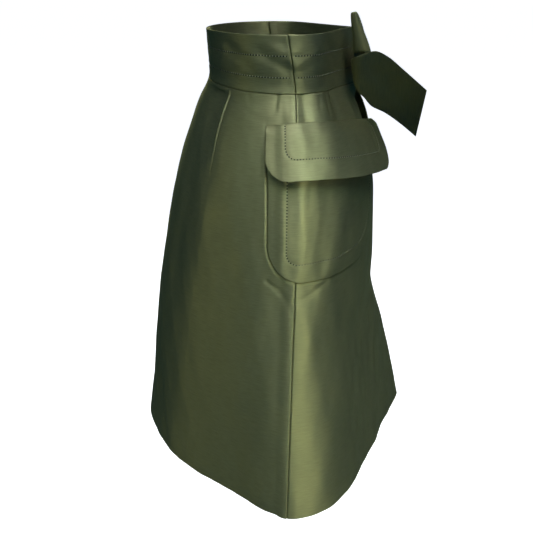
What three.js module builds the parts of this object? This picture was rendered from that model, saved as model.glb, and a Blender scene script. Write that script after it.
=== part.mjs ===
// An A-line satin skirt as its wearer holds it: a hollow shell with a deep waistband, a centre-front
// inverted pleat under a bow, two darts behind, and a flapped patch pocket on each hip.
// Millimetres, +Z up. The origin is the middle of the waist seam, and the wearer faces -Y.
import * as THREE from "three";

const bandHeight = 68;
const skirtLength = 550;
const clothThickness = 1.6;
const bandThickness = 2.6;
const ribbonThickness = 2.2;
const seamGap = 0.3;

// The outer contour, a row for each level: how far below the waist seam it is, its half-depth behind and in
// front, its half-width, and how far in front of the widest point the side seam runs.
const levels = [
  { drop: -68, back: 98, front: 98, side: 115, seam: -3 },
  { drop: -34, back: 96, front: 102, side: 114, seam: 3 },
  { drop: 0, back: 97, front: 107, side: 113, seam: 8 },
  { drop: 27, back: 110, front: 121, side: 128, seam: 7 },
  { drop: 55, back: 122, front: 131, side: 143, seam: 6 },
  { drop: 113, back: 144, front: 138, side: 169, seam: 4 },
  { drop: 175, back: 160, front: 142, side: 187, seam: 2 },
  { drop: 241, back: 174, front: 146, side: 201, seam: 0 },
  { drop: 311, back: 187, front: 152, side: 215, seam: -3 },
  { drop: 386, back: 198, front: 176, side: 230, seam: -6 },
  { drop: 466, back: 208, front: 198, side: 246, seam: -9 },
  { drop: 550, back: 222, front: 220, side: 262, seam: -12 },
];
// How square the contour is at each level (2 is an ellipse, 1 a diamond) at centre back, just behind the
// side, just in front of it and at centre front; backDip flattens it a third of the way to centre back.
const squareness = [
  { drop: -68, backCentre: 1.9, backDip: 0, backSide: 2, frontSide: 1.9, frontCentre: 1.12 },
  { drop: -34, backCentre: 1.9, backDip: 0, backSide: 2, frontSide: 1.9, frontCentre: 1.13 },
  { drop: 0, backCentre: 1.9, backDip: 0, backSide: 2, frontSide: 1.9, frontCentre: 1.15 },
  { drop: 27, backCentre: 1.95, backDip: 0, backSide: 2, frontSide: 1.95, frontCentre: 1.25 },
  { drop: 55, backCentre: 2, backDip: 0.02, backSide: 2, frontSide: 2, frontCentre: 1.4 },
  { drop: 113, backCentre: 1.95, backDip: 0.04, backSide: 1.92, frontSide: 1.95, frontCentre: 1.6 },
  { drop: 175, backCentre: 1.9, backDip: 0.06, backSide: 1.86, frontSide: 1.9, frontCentre: 1.62 },
  { drop: 241, backCentre: 1.82, backDip: 0.1, backSide: 1.8, frontSide: 1.85, frontCentre: 1.55 },
  { drop: 311, backCentre: 1.72, backDip: 0.13, backSide: 1.74, frontSide: 1.82, frontCentre: 1.4 },
  { drop: 386, backCentre: 1.65, backDip: 0.16, backSide: 1.7, frontSide: 1.8, frontCentre: 1.24 },
  { drop: 466, backCentre: 1.6, backDip: 0.18, backSide: 1.62, frontSide: 1.76, frontCentre: 1.15 },
  { drop: 550, backCentre: 1.55, backDip: 0.2, backSide: 1.55, frontSide: 1.74, frontCentre: 1.1 },
];

// Soft folds of the cloth, mirrored on the other hip. A place is a share of the way from the side seam to
// centre front (positive) or centre back (negative), where the fold starts and where it ends; halfWidth
// and height are in millimetres, and a negative height is a trough.
const softFolds = [
  { top: 0, bottom: 60, placeTop: 0.06, placeBottom: 0.07, halfWidth: 8, height: -2.2 },
  { top: 0, bottom: 75, placeTop: 0.22, placeBottom: 0.2, halfWidth: 14, height: 2.4 },
  { top: 0, bottom: 70, placeTop: 0.4, placeBottom: 0.37, halfWidth: 11, height: -2.0 },
  { top: 0, bottom: 110, placeTop: -0.52, placeBottom: -0.5, halfWidth: 9, height: 2.0 },
  { top: 5, bottom: 330, placeTop: -0.66, placeBottom: -0.72, halfWidth: 26, height: -3.4 },
  { top: 215, bottom: 330, placeTop: 0.02, placeBottom: 0.1, halfWidth: 16, height: 2.2 },
  { top: 300, bottom: 550, placeTop: 0.86, placeBottom: 0.62, halfWidth: 30, height: 2.5 },
];

// The inverted pleat: its two folds meet at centre front over an underlay.
const pleat = { halfMouth: 2, depthTop: 22, depthHem: 50, spread: 1.8 };
// Just under the band the pleat gapes, because the right-hand fold falls back behind the left-hand one.
const gape = { setBack: 8, aside: 9, from: 2, full: 16, fade: 70, closed: 150, reach: 70 };

const pocket = {
  behindSeam: 35,
  beforeSeam: 168,
  bottom: 213,
  belowFlapTop: 16,
  backRadius: 45,
  frontRadius: 62,
  edgeGap: 0.9,
  fullness: 3,
};
const flap = {
  behindSeam: 36,
  beforeSeam: 176,
  topBehind: 32.8,
  topSeam: 29.6,
  topBefore: 46.7,
  topLevel: 24,
  topBend: 1.15,
  heightBehind: 58.3,
  heightBefore: 60.3,
  backRadius: 26,
  frontRadius: 32,
  topGap: 1.3,
  topGapBefore: 3.9,
  standOff: 5,
  flareBehind: 9,
  flareBefore: 20,
  curl: 1.2,
};

const knot = { centre: [0, -115.2, 25.5], halfSize: [11, 9.6, 19] };

const colours = { satin: 0x5c5f40, satinDark: 0x474a31, ribbon: 0x4e5137 };

function clothMaterial(colour) {
  return new THREE.MeshStandardMaterial({ color: colour, roughness: 0.45, metalness: 0.1 });
}

// A smooth curve through the named column of a table whose rows run in order of the column `by`.
function smoothColumn(rows, by, column) {
  const places = rows.map((row) => row[by]);
  const values = rows.map((row) => row[column]);
  const curve = new THREE.CubicInterpolant(places, values, 1, new Float32Array(1));
  return (place) => curve.evaluate(THREE.MathUtils.clamp(place, places[0], places.at(-1)))[0];
}

const levelCurves = {};
for (const table of [levels, squareness]) {
  for (const column of Object.keys(table[0])) {
    levelCurves[column] = smoothColumn(table, "drop", column);
  }
}

// Half the contour at a level, from centre back round the widest point to centre front, as points with
// their distance along the cloth from the side seam, negative behind it.
const contours = new Map();
const quarterSteps = 60;
function contourAt(drop) {
  if (contours.has(drop)) {
    return contours.get(drop);
  }
  const level = {};
  for (const column of Object.keys(levelCurves)) {
    level[column] = levelCurves[column](drop);
  }
  const points = [];
  for (let step = -quarterSteps; step <= quarterSteps; step += 1) {
    const angle = (Math.PI / 2) * (step / quarterSteps);
    const across = Math.cos(angle);
    const along = Math.sin(Math.abs(angle));
    const centre = step < 0 ? level.backCentre : level.frontCentre;
    const side = step < 0 ? level.backSide : level.frontSide;
    const dips = step < 0 && angle > -Math.PI / 3;
    const dip = dips ? level.backDip * Math.sin(3 * angle) ** 2 : 0;
    const power = centre + (side - centre) * across ** 4 - dip;
    const reach = step < 0 ? level.back : -level.front;
    points.push({
      x: level.side * Math.max(across, 0) ** (2 / power),
      y: reach * along ** (2 / power),
      distance: 0,
    });
  }
  for (let i = 1; i < points.length; i += 1) {
    const step = Math.hypot(points[i].x - points[i - 1].x, points[i].y - points[i - 1].y);
    points[i].distance = points[i - 1].distance + step;
  }
  const after = points.findIndex((point) => point.y < -level.seam);
  const [a, b] = [points[after - 1], points[after]];
  const seamDistance = a.distance + ((b.distance - a.distance) * (a.y + level.seam)) / (a.y - b.y);
  for (const point of points) {
    point.distance -= seamDistance;
  }
  const contour = { points, toBack: -points[0].distance, toFront: points.at(-1).distance };
  contours.set(drop, contour);
  return contour;
}

function smoothStep(value, start, end) {
  return THREE.MathUtils.smoothstep(value, start, end);
}

// The waist seam isn't level: it climbs towards centre back and dips at centre front, and the cloth above
// and below it follows.
const waist = { climbBack: 6, dipFront: 3, halfDepth: 100, fadeAbove: 68, fadeBelow: 130 };
function heightAt(drop, y) {
  const share = y / waist.halfDepth;
  const shift = y > 0 ? waist.climbBack * share * share : -waist.dipFront * share * share;
  const fade = drop < 0 ? 1 + drop / waist.fadeAbove : 1 - smoothStep(drop, 0, waist.fadeBelow);
  return shift * fade - drop;
}

function foldHeight(drop, place, length) {
  let height = 0;
  for (const fold of softFolds) {
    const share = (drop - fold.top) / (fold.bottom - fold.top);
    if (share < 0 || share > 1 || Math.sign(fold.placeBottom) !== Math.sign(place || fold.placeBottom)) {
      continue;
    }
    const centre = fold.placeTop + (fold.placeBottom - fold.placeTop) * share;
    const off = ((place - centre) * length) / fold.halfWidth;
    const startsAtEdge = fold.top < 10 ? 1 : smoothStep(share, 0, 0.3);
    const endsAtHem = fold.bottom >= skirtLength ? 1 : 1 - smoothStep(share, 0.55, 1);
    height += fold.height * Math.exp(-off * off) * startsAtEdge * endsAtHem;
  }
  return height;
}

// A point of the cloth's outer face on the wearer's left (+X) at a distance from the side seam, moved out
// by lift along the level's own normal.
function clothPoint(drop, distance, lift) {
  const { points, toBack, toFront } = contourAt(drop);
  const wanted = THREE.MathUtils.clamp(distance, -toBack, toFront);
  let i = 1;
  while (i < points.length - 1 && points[i].distance < wanted) {
    i += 1;
  }
  const [a, b] = [points[i - 1], points[i]];
  const share = (wanted - a.distance) / (b.distance - a.distance);
  const length = Math.hypot(b.x - a.x, b.y - a.y);
  const normal = [(a.y - b.y) / length, (b.x - a.x) / length];
  const side = wanted < 0 ? toBack : toFront;
  const out = lift + (drop >= 0 ? foldHeight(drop, wanted / side, side) : 0);
  const x = a.x + (b.x - a.x) * share + normal[0] * out;
  const y = a.y + (b.y - a.y) * share + normal[1] * out;
  return new THREE.Vector3(x, y, heightAt(drop, y));
}

// A closed solid between an outer and an inner grid of points. Rows run down, and columns run so that
// row x column points out of the outer grid.
function wallGeometry(outer, inner) {
  const rows = outer.length;
  const columns = outer[0].length;
  const positions = [...outer.flat(), ...inner.flat()].flatMap((point) => point.toArray());
  const at = (layer, row, column) => layer * rows * columns + row * columns + column;
  const indices = [];
  const quad = (a, b, c, d) => indices.push(a, b, c, a, c, d);
  for (let r = 0; r < rows - 1; r += 1) {
    for (let c = 0; c < columns - 1; c += 1) {
      quad(at(0, r, c), at(0, r + 1, c), at(0, r + 1, c + 1), at(0, r, c + 1));
      quad(at(1, r, c), at(1, r, c + 1), at(1, r + 1, c + 1), at(1, r + 1, c));
    }
  }
  for (let c = 0; c < columns - 1; c += 1) {
    quad(at(0, 0, c), at(0, 0, c + 1), at(1, 0, c + 1), at(1, 0, c));
    quad(at(0, rows - 1, c), at(1, rows - 1, c), at(1, rows - 1, c + 1), at(0, rows - 1, c + 1));
  }
  for (let r = 0; r < rows - 1; r += 1) {
    quad(at(0, r, 0), at(1, r, 0), at(1, r + 1, 0), at(0, r + 1, 0));
    const last = columns - 1;
    quad(at(0, r, last), at(0, r + 1, last), at(1, r + 1, last), at(1, r, last));
  }
  const geometry = new THREE.BufferGeometry();
  geometry.setAttribute("position", new THREE.Float32BufferAttribute(positions, 3));
  geometry.setIndex(indices);
  return geometry;
}

// A wall from its outer level lines, each with one more point past either end. The inner face is the same
// line moved in by the wall's thickness with its corners mitred, so that walls meet squarely at a seam.
function wallFromLines(lines, thickness) {
  const movedIn = (line) =>
    line.slice(1, -1).map((point, i) => {
      const [before, after] = [line[i], line[i + 2]];
      const into = new THREE.Vector2(point.x - before.x, point.y - before.y).normalize();
      const out = new THREE.Vector2(after.x - point.x, after.y - point.y).normalize();
      const along = into.clone().add(out).normalize();
      const mitre = thickness / Math.max(along.dot(into), 0.5);
      return new THREE.Vector3(point.x - along.y * mitre, point.y + along.x * mitre, point.z);
    });
  return wallGeometry(
    lines.map((line) => line.slice(1, -1)),
    lines.map(movedIn),
  );
}

function mirrored(geometry) {
  const copy = geometry.clone();
  const positions = copy.getAttribute("position");
  for (let i = 0; i < positions.count; i += 1) {
    positions.setX(i, -positions.getX(i));
  }
  const index = copy.getIndex();
  for (let i = 0; i < index.count; i += 3) {
    const second = index.getX(i + 1);
    index.setX(i + 1, index.getX(i + 2));
    index.setX(i + 2, second);
  }
  return copy;
}

// Levels from the top to the bottom of a piece, at most `spacing` apart.
function steps(from, to, spacing) {
  const count = Math.ceil((to - from) / spacing);
  return Array.from({ length: count + 1 }, (_, i) => from + ((to - from) * i) / count);
}

// How far a line's extra point lies past the end of its piece.
const pastEnd = 6;

// The front's level line: from the right seam to the right fold of the pleat, in and out of the underlay,
// and from the left fold to the left seam.
const frontShares = [
  0, 0.03, 0.06, 0.1, 0.16, 0.22, 0.28, 0.34, 0.42, 0.5, 0.58, 0.66, 0.74, 0.82, 0.89, 0.95, 1,
];
function frontLine(drop) {
  const { toFront } = contourAt(drop);
  const distances = frontShares.map((share) => seamGap / 2 + (toFront - seamGap / 2) * share);
  const half = [-pastEnd, ...distances].map((distance) => {
    const point = clothPoint(drop, distance, 0);
    point.x += pleat.halfMouth * Math.max(distance / toFront, 0);
    return { point, toFold: toFront - distance };
  });
  const open = smoothStep(drop, gape.from, gape.full) * (1 - smoothStep(drop, gape.fade, gape.closed));
  const right = half.map(({ point, toFold }) => {
    const share = open * (1 - smoothStep(toFold, 0, gape.reach));
    return new THREE.Vector3(-point.x - gape.aside * share, point.y + gape.setBack * share, point.z);
  });
  const left = half.map(({ point }) => point.clone()).reverse();
  const depth = THREE.MathUtils.mapLinear(drop, 0, skirtLength, pleat.depthTop, pleat.depthHem);
  const [rightFold, leftFold] = [right.at(-1), left[0]];
  const deepest = leftFold.y + depth;
  const underlay = [
    [rightFold.x - pleat.spread, THREE.MathUtils.lerp(rightFold.y, deepest, 0.4)],
    [rightFold.x - pleat.spread, THREE.MathUtils.lerp(rightFold.y, deepest, 0.8)],
    [rightFold.x, deepest],
    [leftFold.x, deepest],
    [leftFold.x + pleat.spread, THREE.MathUtils.lerp(leftFold.y, deepest, 0.7)],
    [leftFold.x + pleat.spread, THREE.MathUtils.lerp(leftFold.y, deepest, 0.35)],
  ].map(([x, y]) => new THREE.Vector3(x, y, leftFold.z));
  return [...right, ...underlay, ...left];
}

const panelDrops = [...steps(seamGap / 2, 120, 20), ...steps(120, skirtLength, 34).slice(1)];

function frontGeometry() {
  return wallFromLines(panelDrops.map(frontLine), clothThickness);
}

// Half the back, from the side seam on the wearer's left to the centre-back seam.
const backShares = [0, 0.07, 0.16, 0.25, 0.34, 0.42, 0.46, 0.5, 0.54, 0.58, 0.66, 0.75, 0.84, 0.92, 1];
function backLine(drop, shares) {
  const { toBack } = contourAt(drop);
  const line = shares.map((share) => {
    const point = clothPoint(drop, -seamGap / 2 - (toBack - seamGap / 2) * share, 0);
    point.x += (seamGap / 2) * share;
    return point;
  });
  const pastCentre = line.at(-2).clone().setX(seamGap - line.at(-2).x);
  return [clothPoint(drop, pastEnd, 0), ...line, pastCentre];
}

function backGeometry() {
  return wallFromLines(
    panelDrops.map((drop) => backLine(drop, backShares)),
    clothThickness,
  );
}

// The waistband: its top edge is level, and its lower edge follows the waist seam.
const bandDrops = steps(-bandHeight, -seamGap / 2, 23);
const bandShares = steps(0, 1, 0.085);
function bandFrontLine(drop) {
  const { toFront } = contourAt(drop);
  const left = bandShares.map((share) => clothPoint(drop, toFront - (toFront - seamGap / 2) * share, 0));
  left.push(clothPoint(drop, -pastEnd, 0));
  const right = left.slice(1).map((point) => new THREE.Vector3(-point.x, point.y, point.z));
  return [...right.reverse(), ...left];
}

function bandFrontGeometry() {
  return wallFromLines(bandDrops.map(bandFrontLine), bandThickness);
}

function bandBackGeometry() {
  return wallFromLines(
    bandDrops.map((drop) => backLine(drop, bandShares)),
    bandThickness,
  );
}

// How far a rounded lower corner lifts a piece's bottom edge at a distance from its end.
function cornerRise(fromEnd, radius) {
  const inside = radius - Math.min(fromEnd, radius);
  return radius - Math.sqrt(Math.max(radius * radius - inside * inside, 0));
}

// Distances from the front end of a patch to its back end, closer together in its rounded corners.
const cornerShares = [0, 0.03, 0.12, 0.26, 0.45, 0.7];
function patchColumns(piece) {
  const columns = cornerShares.map((share) => -piece.behindSeam + piece.backRadius * share);
  columns.push(...cornerShares.map((share) => piece.beforeSeam - piece.frontRadius * share));
  columns.push(...steps(piece.backRadius - piece.behindSeam, piece.beforeSeam - piece.frontRadius, 12));
  return columns.sort((a, b) => b - a);
}

// The flap's top edge, lowest in front.
function flapTop(distance) {
  const behind = Math.max(-distance, 0) / flap.behindSeam;
  const before = Math.max(distance - flap.topLevel, 0) / (flap.beforeSeam - flap.topLevel);
  return (
    flap.topSeam +
    (flap.topBehind - flap.topSeam) * behind +
    (flap.topBefore - flap.topSeam) * before ** flap.topBend
  );
}

// A patch pocket on the left hip, sewn down at its sides and bottom, and a little full in the middle.
function pocketGeometry() {
  const columns = patchColumns(pocket);
  const rowShares = steps(0, 1, 0.13);
  const width = pocket.behindSeam + pocket.beforeSeam;
  const grid = (extra) =>
    rowShares.map((rowShare) =>
      columns.map((distance) => {
        const rise = Math.max(
          cornerRise(distance + pocket.behindSeam, pocket.backRadius),
          cornerRise(pocket.beforeSeam - distance, pocket.frontRadius),
        );
        const top = flapTop(distance) + pocket.belowFlapTop;
        const drop = top + (pocket.bottom - rise - top) * rowShare;
        const across = (distance + pocket.behindSeam) / width;
        const full = Math.sin(Math.PI * across) ** 0.6 * Math.cos((Math.PI / 2) * rowShare ** 3);
        return clothPoint(drop, distance, pocket.edgeGap + pocket.fullness * full + extra);
      }),
    );
  return wallGeometry(grid(clothThickness), grid(0));
}

// The flap over it, sewn along its top edge, stands away from the hip towards its lower edge.
function flapGeometry() {
  const columns = patchColumns(flap);
  const rowShares = [0, 0.07, 0.2, 0.36, 0.52, 0.68, 0.84, 1];
  const width = flap.behindSeam + flap.beforeSeam;
  const grid = (extra) =>
    rowShares.map((rowShare) =>
      columns.map((distance) => {
        const rise = Math.max(
          cornerRise(distance + flap.behindSeam, flap.backRadius),
          cornerRise(flap.beforeSeam - distance, flap.frontRadius),
        );
        const across = (distance + flap.behindSeam) / width;
        const height = THREE.MathUtils.lerp(flap.heightBehind, flap.heightBefore, across);
        const drop = flapTop(distance) + (height - rise) * rowShare;
        const flare = THREE.MathUtils.lerp(flap.flareBehind, flap.flareBefore, smoothStep(across, 0.1, 1));
        const standing = flap.standOff * Math.sin((Math.PI / 2) * Math.min(rowShare * 5, 1));
        const gap = THREE.MathUtils.lerp(flap.topGap, flap.topGapBefore, smoothStep(across, 0.8, 1));
        const lift = gap + standing + flare * (1 - rise / height) * rowShare ** flap.curl;
        return clothPoint(drop, distance, lift + extra);
      }),
    );
  return wallGeometry(grid(clothThickness), grid(0));
}

// A ribbon: a strip between two edge curves, thickened on both sides of its middle surface.
function ribbonGeometry(edges, lengthSteps, widthSteps, cup) {
  const curves = edges.map(
    (points) => new THREE.CatmullRomCurve3(points.map((point) => new THREE.Vector3(...point))),
  );
  const middle = (along, across) => {
    const a = curves[0].getPoint(along);
    const b = curves[1].getPoint(along);
    return a.lerp(b, across);
  };
  const nudge = 0.01;
  const normalAt = (along, across) => {
    const clampedAlong = THREE.MathUtils.clamp(along, nudge, 1 - nudge);
    const lengthways = middle(clampedAlong + nudge, across).sub(middle(clampedAlong - nudge, across));
    const crossways = middle(along, 1).sub(middle(along, 0));
    return lengthways.cross(crossways).normalize();
  };
  const grid = (offset) =>
    Array.from({ length: widthSteps + 1 }, (_, row) =>
      Array.from({ length: lengthSteps + 1 }, (_unused, column) => {
        const along = column / lengthSteps;
        const across = row / widthSteps;
        const bowed = cup * 4 * across * (1 - across) * Math.sin(Math.PI * Math.min(along, 0.5));
        return middle(along, across).add(normalAt(along, across).multiplyScalar(offset + bowed));
      }),
    );
  return wallGeometry(grid(-ribbonThickness / 2), grid(ribbonThickness / 2));
}

// The bow's loops and tails, each by the points of its upper and lower edge, from the knot outwards and,
// for a loop, back to the knot.
const loopRight = {
  upper: [
    [-12, -114, 43],
    [-30, -96, 64],
    [-44, -86, 83],
    [-51, -84, 88],
    [-53, -87, 89],
    [-51, -90, 89],
    [-43, -96, 82],
    [-29, -107, 61],
    [-12, -120, 43],
  ],
  lower: [
    [-12, -114, 28],
    [-30, -97, 33],
    [-45, -92, 38],
    [-52, -94, 41],
    [-57, -102, 42],
    [-54, -111, 41],
    [-44, -114, 38],
    [-29, -118, 33],
    [-12, -121, 28],
  ],
};
const loopLeft = {
  upper: [
    [12, -115, 43],
    [30, -100, 52],
    [44, -88, 57],
    [51, -86, 58],
    [54, -90, 58],
    [51, -95, 58],
    [43, -101, 57],
    [29, -110, 51],
    [12, -120, 43],
  ],
  lower: [
    [12, -115, 28],
    [30, -103, 24],
    [45, -96, 18],
    [54, -96, 16],
    [59, -104, 16],
    [56, -112, 16],
    [45, -116, 18],
    [29, -120, 24],
    [12, -121, 28],
  ],
};
const tailRight = {
  upper: [
    [-12, -111, 24],
    [-33, -94, 29],
    [-52, -88, 33],
    [-63, -95, 38],
    [-66, -104, 42],
    [-68, -115, 44],
    [-70, -131, 37],
    [-71, -151, 22],
    [-74, -184, -4],
  ],
  lower: [
    [-12, -111, 8],
    [-28, -101, 5],
    [-43, -95, 1],
    [-44, -100, -9],
    [-39, -111, -19],
    [-33, -123, -31],
    [-28, -145, -42],
    [-24, -169, -58],
    [-20, -195, -78],
  ],
};
const tailLeft = {
  upper: [
    [12, -114, 20],
    [36, -103, 14],
    [56, -101, 13],
    [68, -107, 15],
    [73, -119, 14],
    [75, -134, 9],
    [76, -152, -2],
    [75, -170, -15],
    [73, -188, -28],
  ],
  lower: [
    [12, -115, 10],
    [30, -109, 2],
    [40, -108, -4],
    [43, -114, -10],
    [43, -122, -16],
    [42, -133, -25],
    [40, -147, -37],
    [37, -160, -48],
    [34, -172, -58],
  ],
};

function loopGeometry(loop) {
  return ribbonGeometry([loop.upper, loop.lower], 24, 5, 0);
}

function tailGeometry(tail) {
  return ribbonGeometry([tail.upper, tail.lower], 20, 4, 0);
}

// The knot is a rounded wrap round the roots of the loops.
function knotGeometry() {
  const rounded = new THREE.SphereGeometry(1, 20, 12);
  rounded.deleteAttribute("normal");
  rounded.deleteAttribute("uv");
  const positions = rounded.getAttribute("position");
  const roundness = 0.55;
  for (let i = 0; i < positions.count; i += 1) {
    const [x, y, z] = [positions.getX(i), positions.getY(i), positions.getZ(i)];
    const shape = (value) => Math.sign(value) * Math.abs(value) ** roundness;
    positions.setXYZ(
      i,
      knot.centre[0] + shape(x) * knot.halfSize[0],
      knot.centre[1] + shape(y) * knot.halfSize[1],
      knot.centre[2] + shape(z) * knot.halfSize[2],
    );
  }
  return rounded;
}

const skirt = new THREE.Group();
skirt.name = "satin_skirt";

function addPiece(name, geometry, colour) {
  const mesh = new THREE.Mesh(geometry, clothMaterial(colour));
  mesh.name = name;
  skirt.add(mesh);
}

function addPair(name, leftGeometry, colour) {
  addPiece(`${name}_left`, leftGeometry, colour);
  addPiece(`${name}_right`, mirrored(leftGeometry), colour);
}

addPiece("front", frontGeometry(), colours.satin);
addPair("back", backGeometry(), colours.satin);
addPiece("band_front", bandFrontGeometry(), colours.satin);
addPair("band_back", bandBackGeometry(), colours.satin);
addPair("pocket", pocketGeometry(), colours.satin);
addPair("flap", flapGeometry(), colours.satin);
addPiece("bow_loop_left", loopGeometry(loopLeft), colours.ribbon);
addPiece("bow_loop_right", loopGeometry(loopRight), colours.ribbon);
addPiece("bow_tail_left", tailGeometry(tailLeft), colours.ribbon);
addPiece("bow_tail_right", tailGeometry(tailRight), colours.ribbon);
addPiece("bow_knot", knotGeometry(), colours.satinDark);

export default skirt;
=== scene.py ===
import math

import bpy
import bmesh
import numpy as np
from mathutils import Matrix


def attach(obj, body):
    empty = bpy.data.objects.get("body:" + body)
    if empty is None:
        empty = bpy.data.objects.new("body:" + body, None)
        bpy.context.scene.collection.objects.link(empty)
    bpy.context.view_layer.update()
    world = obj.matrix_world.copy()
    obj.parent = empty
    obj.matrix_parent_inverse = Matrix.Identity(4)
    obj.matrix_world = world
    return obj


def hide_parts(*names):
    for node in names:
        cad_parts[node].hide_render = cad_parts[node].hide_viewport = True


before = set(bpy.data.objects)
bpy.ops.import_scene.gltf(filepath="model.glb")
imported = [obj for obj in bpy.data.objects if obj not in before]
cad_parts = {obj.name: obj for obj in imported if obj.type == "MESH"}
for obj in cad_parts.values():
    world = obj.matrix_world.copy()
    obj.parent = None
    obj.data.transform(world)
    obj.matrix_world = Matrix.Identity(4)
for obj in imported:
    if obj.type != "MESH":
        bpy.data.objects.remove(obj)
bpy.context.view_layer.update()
mm = 0.001
draws = np.random.default_rng(11)
bpy.ops.object.select_all(action="DESELECT")


def rowsOf(keys, rows):
    # a table's rows as dictionaries
    return [dict(zip(keys.split(), row)) for row in rows]


# the cut: the garment's level lines
cut = {
    "bandHeight": 68,
    "skirtLength": 550,
    "seamGap": 0.3,
    "panelThickness": 1.2,
    "bandThickness": 2.0,
    "patchThickness": 1.3,
    "seamRoll": 1.3,       # radius of the cloth's turn into a seam
    "edgeRoll": 0.7,       # radius of a folded edge
    "patchRoll": 1.0,      # the same on a flap, and round a pocket's sides
}

# how far each level is below the waist seam, its half-depth behind and in front, its half-width, and
# how far in front of the widest point the side seam runs
levels = rowsOf("drop back front side seam", [
    (-68, 98, 98, 115, -3),
    (-34, 96, 102, 114, 3),
    (0, 97, 107, 113, 8),
    (27, 110, 121, 128, 7),
    (55, 122, 131, 143, 6),
    (113, 144, 138, 169, 4),
    (175, 160, 142, 187, 2),
    (241, 174, 146, 201, 0),
    (311, 187, 152, 215, -3),
    (386, 198, 176, 230, -6),
    (466, 208, 198, 246, -9),
    (550, 222, 220, 262, -12),
])
# how square each level is (2 is an ellipse, 1 a diamond)
squareness = rowsOf("drop backCentre backDip backSide frontSide frontCentre", [
    (-68, 1.9, 0, 2, 1.9, 1.12),
    (-34, 1.9, 0, 2, 1.9, 1.13),
    (0, 1.9, 0, 2, 1.9, 1.15),
    (27, 1.95, 0, 2, 1.95, 1.25),
    (55, 2, 0.02, 2, 2, 1.4),
    (113, 1.95, 0.04, 1.92, 1.95, 1.6),
    (175, 1.9, 0.06, 1.86, 1.9, 1.62),
    (241, 1.82, 0.1, 1.8, 1.85, 1.55),
    (311, 1.72, 0.13, 1.74, 1.82, 1.4),
    (386, 1.65, 0.16, 1.7, 1.8, 1.24),
    (466, 1.6, 0.18, 1.62, 1.76, 1.15),
    (550, 1.55, 0.2, 1.55, 1.74, 1.1),
])
waist = {"climbBack": 6, "dipFront": 3, "halfDepth": 100, "fadeAbove": 68, "fadeBelow": 130}


def smoothColumn(rows, column):
    places = np.array([row["drop"] for row in rows], float)
    values = np.array([row[column] for row in rows], float)

    def at(place):
        place = min(max(place, places[0]), places[-1])
        i1 = min(int(np.searchsorted(places, place, side="right")), len(places) - 1)
        i0 = i1 - 1
        t0, t1 = places[i0], places[i1]
        before, tBefore = (values[i0 - 1], places[i0 - 1]) if i0 > 0 else (values[i1], t1)
        after, tAfter = (values[i1 + 1], places[i1 + 1]) if i1 + 1 < len(places) else (values[i0], t0)
        half = (t1 - t0) / 2
        wb, wa = half / (t0 - tBefore), half / (tAfter - t1)
        p = (place - t0) / (t1 - t0)
        return (before * (-wb * p ** 3 + 2 * wb * p ** 2 - wb * p)
                + values[i0] * ((1 + wb) * p ** 3 - (1.5 + 2 * wb) * p ** 2 + (wb - 0.5) * p + 1)
                + values[i1] * (-(1 + wa) * p ** 3 + (1.5 + wa) * p ** 2 + 0.5 * p)
                + after * (wa * p ** 3 - wa * p ** 2))
    return at


levelCurves = {column: smoothColumn(table, column)
               for table in (levels, squareness) for column in table[0] if column != "drop"}


def smoothStep(value, start, end):
    share = np.clip((value - start) / (end - start), 0, 1)
    return share * share * (3 - 2 * share)


def contourAt(drop):
    # half a level, from centre back round the side to centre front, by its distance from the side seam
    level = {column: curve(drop) for column, curve in levelCurves.items()}
    angle = np.linspace(-math.pi / 2, math.pi / 2, 481)
    across, along = np.clip(np.cos(angle), 0, 1), np.sin(np.abs(angle))
    behind = angle < 0
    centre = np.where(behind, level["backCentre"], level["frontCentre"])
    side = np.where(behind, level["backSide"], level["frontSide"])
    dip = np.where(behind & (angle > -math.pi / 3), level["backDip"] * np.sin(3 * angle) ** 2, 0)
    power = centre + (side - centre) * across ** 4 - dip
    x = level["side"] * across ** (2 / power)
    y = np.where(behind, level["back"], -level["front"]) * along ** (2 / power)
    distance = np.concatenate([[0], np.cumsum(np.hypot(np.diff(x), np.diff(y)))])
    distance -= np.interp(level["seam"], -y, distance)
    return x, y, distance


# the whole outer face as tables: a row for each millimetre of drop, a column for each share of the way from
# centre back (0) over the side seam (the middle) to centre front
topDrop = -cut["bandHeight"]
tableShares = np.linspace(-1, 1, 601)
shape = {key: [] for key in ("x", "y", "nx", "ny", "toBack", "toFront")}
for tableDrop in range(topDrop, cut["skirtLength"] + 1):
    x, y, distance = contourAt(tableDrop)
    wanted = np.where(tableShares < 0, tableShares * -distance[0], tableShares * distance[-1])
    xs, ys = np.interp(wanted, distance, x), np.interp(wanted, distance, y)
    dx, dy = np.gradient(xs), np.gradient(ys)
    length = np.hypot(dx, dy)
    for key, value in zip(shape, (xs, ys, -dy / length, dx / length, -distance[0], distance[-1])):
        shape[key].append(value)
shape = {key: np.array(value) for key, value in shape.items()}


def reach(drop, end):
    # how far the cloth runs from the side seam to centre back ("toBack") or centre front ("toFront")
    return np.interp(drop, np.arange(len(shape[end])) + topDrop, shape[end])


def heightAt(drop, y):
    share = y / waist["halfDepth"]
    shift = np.where(y > 0, waist["climbBack"] * share ** 2, -waist["dipFront"] * share ** 2)
    fade = np.where(drop < 0, 1 + drop / waist["fadeAbove"], 1 - smoothStep(drop, 0, waist["fadeBelow"]))
    return shift * fade - drop


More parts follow.
